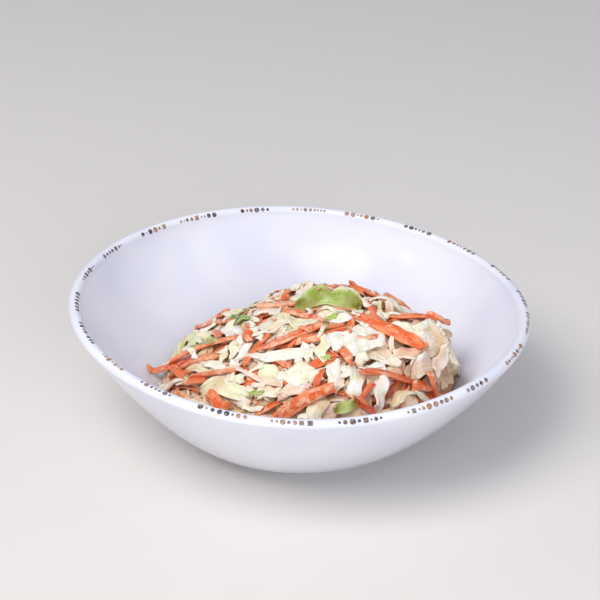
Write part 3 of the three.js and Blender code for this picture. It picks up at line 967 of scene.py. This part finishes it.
def loosePiece(sizes, draw, j, i, shade=(1, 1, 1)):
    x, y = float(field.x[j, i]), float(field.y[j, i])
    kinds = list(sizes)
    kind = str(draw.choice(kinds, p=[sizes[name][0] for name in kinds]))
    long, wide = draw.uniform(*sizes[kind][1]), draw.uniform(*sizes[kind][2])
    piece = cutPiece(lookFor(kind, draw), draw, (x, y), looseTurn(draw, j, i), long, min(wide, 0.8 * long),
                     ownBends(draw, kind))
    piece["thick"] = min(piece["thick"], 0.3 * piece["wide"])
    # shade darkens the colour: painted shade, used for the filling
    piece["colour"] = tuple(c * part for c, part in zip(piece["colour"], shade))
    return piece


def layFilling(heaps):
    # lays filling where the heap is still lowest, until the shown pieces can lie on it
    draw = np.random.default_rng(mound["fillSeed"])
    wanted = moundTop(field.x, field.y) - mound["fillDepth"]
    for _ in range(mound["fillPieces"]):
        tries = heapSpots[draw.integers(len(heapSpots), size=mound["fillTries"])]
        short = wanted[tries[:, 0], tries[:, 1]] - field.values[tries[:, 0], tries[:, 1]]
        j, i = tries[np.argmax(short)]
        if short.max() < mound["fillSlack"]:
            break
        piece = loosePiece(fillSizes, draw, j, i, mound["fillPaintedShade"])
        lay(piece, heaps["under"][piece["form"]])


def layBetween(heaps, sizes, count, seed):
    # lays small bits in the hollows between the pieces
    draw = np.random.default_rng(seed)
    gentle = heapSpots[steepness[heapSpots[:, 0], heapSpots[:, 1]] < mound["gentle"]]
    for _ in range(count):
        tries = gentle[draw.integers(len(gentle), size=mound["bitTries"])]
        x, y = field.x[tries[:, 0], tries[:, 1]], field.y[tries[:, 0], tries[:, 1]]
        aside = mound["hollowReach"]
        ways = ((aside, 0), (-aside, 0), (0, aside), (0, -aside))
        around = sum(field.at(x + dx, y + dy) for dx, dy in ways) / len(ways)
        piece = loosePiece(sizes, draw, *tries[np.argmax(around - field.at(x, y))])
        lay(piece, heaps["over"][piece["form"]])


def leaveOutBuried(heap):
    kept = []
    for solid in heap.solids:
        x, y, z = solid[0].T
        if (field.at(x, y) - z).min() < mound["buried"]:
            kept.append(solid)
    heap.solids = kept


def layHeap():
    heaps = {layer: {kind: Heap() for kind in forms} for layer in ("under", "over")}
    heaps["under"]["leaf"] = heaps["over"]["leaf"]
    heaps["over"]["plate"] = heaps["over"]["cabbage"]
    layFilling(heaps)
    print("filling laid")
    draws = Draws(mound["seed"])
    draw = np.random.default_rng(mound["seed"])
    onTop = []
    for look, place, turn, long, wide, *stand in shown:
        bends = solidBends(draws, looks[look][0])
        piece = cutPiece(look, draw, place, math.radians(turn), long, wide, bends, *stand, coat=thinCoat)
        onTop.append(piece)
    for piece in scatteredPieces(draws, draw, [row[1] for row in shown]):
        lay(piece, heaps["over"][piece["form"]])
    layBetween(heaps, crumbSizes, mound["crumbs"], mound["crumbSeed"])
    print("scattered pieces laid")
    for piece in onTop:
        lay(piece, heaps["over"][piece["form"]])
    for look, place, turn, long, wide in shownSmall:
        bends = ownBends(draw, looks[look][0])
        piece = cutPiece(look, draw, place, math.radians(turn), long, wide, bends, coat=thinCoat)
        lay(piece, heaps["over"][piece["form"]])
    layBetween(heaps, crumbSizes, mound["gapCrumbs"], mound["gapCrumbSeed"])
    layBetween(heaps, dollopSizes, mound["dollops"], mound["dollopSeed"])
    for kind in ("cabbage", "carrot"):
        leaveOutBuried(heaps["under"][kind])
    print("shown pieces laid")
    return heaps


# The finishes of the slaw

dressed = {
    "patchScale": 260.0,
    "fineScale": 900.0,
    "from": 0.6,  # dressing shows where its noise is above this
    "full": 0.76,
    "pepper": paint(92, 62, 44),
    "pepperScale": 620.0,
    "pepperFrom": 0.76,
    "pepperFull": 0.79,
    "pepperShare": 0.8,
    "paintedShade": paint(212, 142, 92),  # painted shade, warm like the soaked dressing, on what lies down between the pieces
    "paintedShadeShare": 0.5,
}


def creamCoat(finish, at):
    # where dressing clings: patches, thicker on the pieces that have more of it
    amount = finish.attribute("tint", "Alpha")
    patches = finish.noise(at, dressed["patchScale"], 3.0, 0.6)
    fine = finish.noise(at, dressed["fineScale"])
    return finish.between(patches * 0.75 + fine * 0.25 + amount * 0.35, dressed["from"], dressed["full"])


def aged(finish, at, colour):
    # a little ground pepper, and warm painted shade down between the pieces
    pepper = finish.noise(at, dressed["pepperScale"], 1.0)
    specks = finish.between(pepper, dressed["pepperFrom"], dressed["pepperFull"]) * dressed["pepperShare"]
    peppered = finish.mixed(specks, colour, dressed["pepper"])
    # painted shade: the colour is darkened and warmed where a point lies deep between the pieces
    deep = finish.attribute("depth", "Fac") * dressed["paintedShadeShare"]
    return finish.mixed(deep, peppered, dressed["paintedShade"], "MULTIPLY")


# Noises: the stretch along a piece's grain (without one the noise is fixed in space), scale and detail.
# Tones, laid over a piece's own colour in turn: where the noise starts to show, where it is full, its share.
fleshes = {
    "cabbage": {
        "noises": {
            "veins": ((0.12, 0.9, 1.0), 1.0, 3.0),
            "clouds": ((1, 1, 1), 0.22, 2.0),
            "warmth": (None, 130.0, 2.0),
        },
        "tones": [
            ("clouds", 0.46, 0.66, 0.5, paint(214, 220, 154)),
            ("warmth", 0.5, 0.7, 0.4, paint(250, 224, 192)),
            ("veins", 0.5, 0.66, 0.5, paint(254, 250, 242)),
        ],
        "rim": paint(254, 248, 236), "rimShare": 0.35,
        "cream": paint(252, 242, 224), "creamShare": 0.6,
        "creamSmooths": 0.12, "creamWets": 0.4, "creamRelief": 0.5,
        "roughness": 0.36, "wet": 0.2, "wetRoughness": 0.12,
        "soft": 0.35, "softReach": (0.004, 0.0034, 0.0022),
        "ridges": ("veins", 0.7), "pores": (420.0, 0.8), "relief": 0.65, "reliefDepth": 0.0009,
    },
    "carrot": {
        "noises": {
            "fibres": ((0.09, 0.9, 1.0), 1.1, 3.0),
            "streaks": ((0.14, 0.7, 1.0), 0.7, 2.0),
        },
        "tones": [
            ("fibres", 0.48, 0.62, 0.6, paint(192, 64, 20)),
            # the light streaks along the grain are partly dressing and partly a painted highlight
            ("streaks", 0.48, 0.62, 0.55, paint(248, 160, 106)),
        ],
        "rim": paint(250, 168, 116), "rimShare": 0.4,
        "cream": paint(252, 212, 178), "creamShare": 0.6,
        "creamSmooths": 0.1, "creamWets": 0.4, "creamRelief": 0.6,
        "roughness": 0.3, "wet": 0.4, "wetRoughness": 0.1,
        "soft": 0.2, "softReach": (0.003, 0.0014, 0.0006),
        "ridges": ("fibres", 0.9), "pores": (700.0, 0.3), "relief": 0.6, "reliefDepth": 0.0007,
    },
    "leaf": {
        "noises": {
            "veins": ((0.2, 0.8, 1.0), 1.0, 3.0),
            "mottle": ((1, 1, 1), 0.2, 2.0),
        },
        "tones": [
            ("mottle", 0.48, 0.62, 0.45, paint(180, 204, 104)),
            ("veins", 0.5, 0.66, 0.35, paint(196, 214, 122)),
        ],
        "rim": paint(230, 230, 172), "rimShare": 0.4,
        "cream": paint(238, 238, 200), "creamShare": 0.2,
        "creamSmooths": 0.1, "creamWets": 0.3, "creamRelief": 0,
        "roughness": 0.36, "wet": 0.3, "wetRoughness": 0.14,
        "soft": 0.2, "softReach": (0.002, 0.003, 0.001),
        "ridges": ("veins", 0.8), "pores": (500.0, 0.4), "relief": 0.4, "reliefDepth": 0.0006,
    },
}


def fleshFinish(name, flesh):
    # soft flesh, paler at its cut edges, partly dressing there and partly a painted highlight, and glossier
    # where the dressing clings
    finish = Finish(name)
    at, grain = finish.place(), finish.attribute("grain", "Vector")
    noises = {}
    for label, (stretch, scale, detail) in flesh["noises"].items():
        along = finish.stretched(grain, stretch) if stretch else at
        noises[label] = finish.noise(along, scale, detail)
    colour = finish.attribute("tint")
    for label, low, high, share, tone in flesh["tones"]:
        colour = finish.mixed(finish.between(noises[label], low, high) * share, colour, tone)
    # the pale edge: dressing along it, and partly a painted highlight
    rim = finish.mixed(finish.attribute("edge", "Fac") * flesh["rimShare"], colour, flesh["rim"])
    cream = creamCoat(finish, at)
    ridged, ridges = flesh["ridges"]
    poreScale, pores = flesh["pores"]
    relief = noises[ridged] * ridges + finish.noise(at, poreScale) * pores + cream * flesh["creamRelief"]
    return finish.surface({
        "Base Color": aged(finish, at, finish.mixed(cream * flesh["creamShare"], rim, flesh["cream"])),
        "Roughness": flesh["roughness"] - flesh["creamSmooths"] * cream,
        "Subsurface Weight": flesh["soft"],
        "Subsurface Radius": flesh["softReach"],
        "Subsurface Scale": 0.4,
        "Coat Weight": flesh["wet"] + flesh["creamWets"] * cream,
        "Coat Roughness": flesh["wetRoughness"],
        "Normal": finish.bump(relief, flesh["relief"], flesh["reliefDepth"]),
    })


dressing = {
    "warmth": paint(250, 222, 196),
    "roughness": 0.26,
    "soft": 0.5,
    "softReach": (0.004, 0.003, 0.002),
    "wet": 0.5,
    "wetRoughness": 0.1,
}


def dressingFinish():
    finish = Finish("creamDressing")
    at = finish.place()
    warm = finish.between(finish.noise(at, 140.0), 0.4, 0.7)
    colour = finish.mixed(warm * 0.5, finish.attribute("tint"), dressing["warmth"])
    return finish.surface({
        "Base Color": aged(finish, at, colour),
        "Roughness": dressing["roughness"],
        "Subsurface Weight": dressing["soft"],
        "Subsurface Radius": dressing["softReach"],
        "Subsurface Scale": 0.4,
        "Coat Weight": dressing["wet"],
        "Coat Roughness": dressing["wetRoughness"],
        "Normal": finish.bump(finish.noise(at, 420.0), 0.3, 0.0005),
    })


slawCore = {
    "rings": 40,
    "around": 120,
    "least": 0.6,  # thickness at its edge
    # both colours are dark warm tans: painted shade for the deep gaps where the core shows between the
    # pieces
    "paintedShade": paint(212, 154, 100),
    "cream": paint(232, 196, 146),
}


def coreFinish():
    # the core's finish is painted shade, mottled between its two dark tans
    finish = Finish("creamyDepth")
    at = finish.place()
    patches = finish.between(finish.noise(at, 160.0, 3.0, 0.5), 0.4, 0.65)
    return finish.surface({
        "Base Color": finish.mixed(patches, slawCore["paintedShade"], slawCore["cream"]),
        "Roughness": 0.4,
        "Subsurface Weight": 0.2,
        "Subsurface Radius": (0.004, 0.003, 0.002),
        "Subsurface Scale": 0.4,
        "Normal": finish.bump(finish.noise(at, 400.0, 3.0), 0.6, 0.001),
    })


def makeCore():
    # a closed dome under the pieces, down to just above the glaze
    rings, around = slawCore["rings"], slawCore["around"]
    angles = np.arange(around) * 2 * math.pi / around
    shares = np.linspace(0, 1, rings + 1)[1:]
    ends = []
    for angle in angles:
        share = np.linspace(0.4, 1, 121)
        x = mound["x"] + share * mound["halfWidth"] * math.cos(angle)
        y = mound["y"] + share * mound["halfDepth"] * math.sin(angle)
        above = moundTop(x, y) - mound["coreDepth"] > liningTop(x, y) + slawCore["least"]
        ends.append(share[above].max() if above.any() else 0.4)
    x = mound["x"] + shares[:, None] * ends * mound["halfWidth"] * np.cos(angles)
    y = mound["y"] + shares[:, None] * ends * mound["halfDepth"] * np.sin(angles)
    floor = liningTop(x, y)
    top = np.maximum(moundTop(x, y) - mound["coreDepth"], floor + slawCore["least"])
    upper, under = (np.stack([x, y, z], -1).reshape(-1, 3) for z in (top, floor))
    middle = np.array([mound["x"], mound["y"]])
    peak = float(moundTop(*middle)) - mound["coreDepth"]
    points = np.concatenate([upper, under, [[*middle, peak], [*middle, float(liningTop(*middle))]]])
    corner, after = ringCorners(rings, around)
    lower = corner.size
    upperFaces = np.stack([corner[:-1], corner[1:], after[1:], after[:-1]], -1).reshape(-1, 4)
    lowerFaces = np.stack([corner[:-1], after[:-1], after[1:], corner[1:]], -1).reshape(-1, 4) + lower
    rim = np.stack([corner[-1], corner[-1] + lower, after[-1] + lower, after[-1]], -1)
    cap = np.stack([np.full(around, 2 * lower), corner[0], after[0]], -1)
    base = np.stack([np.full(around, 2 * lower + 1), after[0] + lower, corner[0] + lower], -1)
    walls = np.concatenate([upperFaces, lowerFaces, rim])
    return meshPiece("slawCore", points, [walls, cap, base], coreFinish())


def hollowness():
    # how deep a point lies between the pieces round it, 0 to 1, whatever the slope; it sets the painted
    # shade there
    trend = field.values.copy()
    for _ in range(mound["trendPasses"]):
        for axis in (0, 1):
            trend = (trend + np.roll(trend, 1, axis) + np.roll(trend, -1, axis)) / 3
    near = field.values - trend
    for _ in range(mound["peakPasses"]):
        for axis in (0, 1):
            near = np.maximum(near, np.maximum(np.roll(near, 1, axis), np.roll(near, -1, axis)))

    def depthAt(points):
        x, y, z = points.T
        below = field.at(x, y, near) - (z - field.at(x, y, trend))
        return np.clip((below - mound["darkFrom"]) / mound["darkOver"], 0, 1)
    return depthAt


def makeSlaw():
    heaps = layHeap()
    depthAt = hollowness()
    cabbage = fleshFinish("cabbageFlesh", fleshes["cabbage"])
    carrot = fleshFinish("carrotFlesh", fleshes["carrot"])
    leaf = fleshFinish("greenLeaf", fleshes["leaf"])
    return [
        makeCore(),
        heaps["over"]["cabbage"].piece("cabbageFlakes", cabbage, depthAt),
        heaps["over"]["carrot"].piece("carrotStrips", carrot, depthAt),
        heaps["over"]["leaf"].piece("greenLeaves", leaf, depthAt),
        heaps["over"]["dollop"].piece("dressingDrops", dressingFinish(), depthAt),
        heaps["under"]["cabbage"].piece("cabbageFilling", cabbage, depthAt),
        heaps["under"]["carrot"].piece("carrotFilling", carrot, depthAt),
    ]


slawPieces = makeSlaw()
for piece in slawPieces:
    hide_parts("slaw")
    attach(piece, "root")
print("slaw made", {piece.name: len(piece.data.polygons) for piece in slawPieces})


# Studio

studio = {
    "distance": 0.85,
    "elevation": 28.7,
    "aimHeight": 0.04,
    "lens": 110.5,
    "shiftUp": 0.061,
    "floorColour": paint(226, 222, 216),
    "floorSize": 6000.0,  # from the middle to its side, in millimetres
    "floorDrop": 0.0002,  # below the foot, so that the two don't flicker
    "lampAim": (0, 0, 0.03),
    "roomColour": (0.81, 0.83, 0.98),
    "roomStrength": 0.49,
}

# name, place, width, strength in watts, colour, whether it shows in gloss
lamps = [
    ("window", (-0.72, -0.6, 1.3), 1.0, 14.5, (1.0, 0.975, 0.94), False),
    ("fill", (0.4, -1.3, 0.55), 0.9, 8.5, (0.94, 0.96, 1.0), False),
    ("sheen", (-0.22, -0.45, 1.3), 0.7, 2.2, (1.0, 1.0, 1.0), True),
    ("glint", (-0.98, -0.36, 0.98), 0.05, 0.2, (1.0, 1.0, 1.0), True),
]


def aimedAt(place, target):
    direction = np.array(target) - np.array(place)
    flat = math.hypot(direction[0], direction[1])
    return Euler((math.atan2(flat, -direction[2]), 0, math.atan2(direction[1], direction[0]) - math.pi / 2))


def makeStudio():
    floorFinish = Finish("paleFloor")
    grainy = floorFinish.noise(floorFinish.place(), 30.0, 3.0)
    shade = floorFinish.mixed(grainy, studio["floorColour"], tuple(0.97 * c for c in studio["floorColour"]))
    material = floorFinish.surface({"Base Color": shade, "Roughness": 0.6})
    size = studio["floorSize"]
    floor = meshPiece("floor", [(-size, -size, 0), (size, -size, 0), (size, size, 0), (-size, size, 0)],
                      [np.array([[0, 1, 2, 3]])], material)
    floor.location.z = -studio["floorDrop"]
    for name, place, width, watts, colour, inGloss in lamps:
        lamp = bpy.data.lights.new(name, "AREA")
        lamp.shape = "DISK"
        lamp.size = width
        lamp.energy = watts
        lamp.color = colour
        stand = bpy.data.objects.new(name, lamp)
        stand.location = place
        stand.rotation_euler = aimedAt(place, studio["lampAim"])
        stand.visible_glossy = inGloss
        bpy.context.scene.collection.objects.link(stand)
    world = bpy.data.worlds.new("room")
    world.use_nodes = True
    world.node_tree.nodes["Background"].inputs["Color"].default_value = (*studio["roomColour"], 1)
    world.node_tree.nodes["Background"].inputs["Strength"].default_value = studio["roomStrength"]
    bpy.context.scene.world = world
    bpy.context.scene.view_settings.view_transform = "Standard"


def makeCamera():
    lens = bpy.data.cameras.new("camera")
    lens.lens = studio["lens"]
    lens.shift_y = studio["shiftUp"]
    lens.clip_end = 20
    camera = bpy.data.objects.new("camera", lens)
    tilt = math.radians(studio["elevation"])
    back, up = studio["distance"] * math.cos(tilt), studio["distance"] * math.sin(tilt)
    camera.location = (0, -back, studio["aimHeight"] + up)
    camera.rotation_euler = (math.pi / 2 - tilt, 0, 0)
    bpy.context.scene.collection.objects.link(camera)
    bpy.context.scene.camera = camera


makeStudio()
makeCamera()
print("studio made")
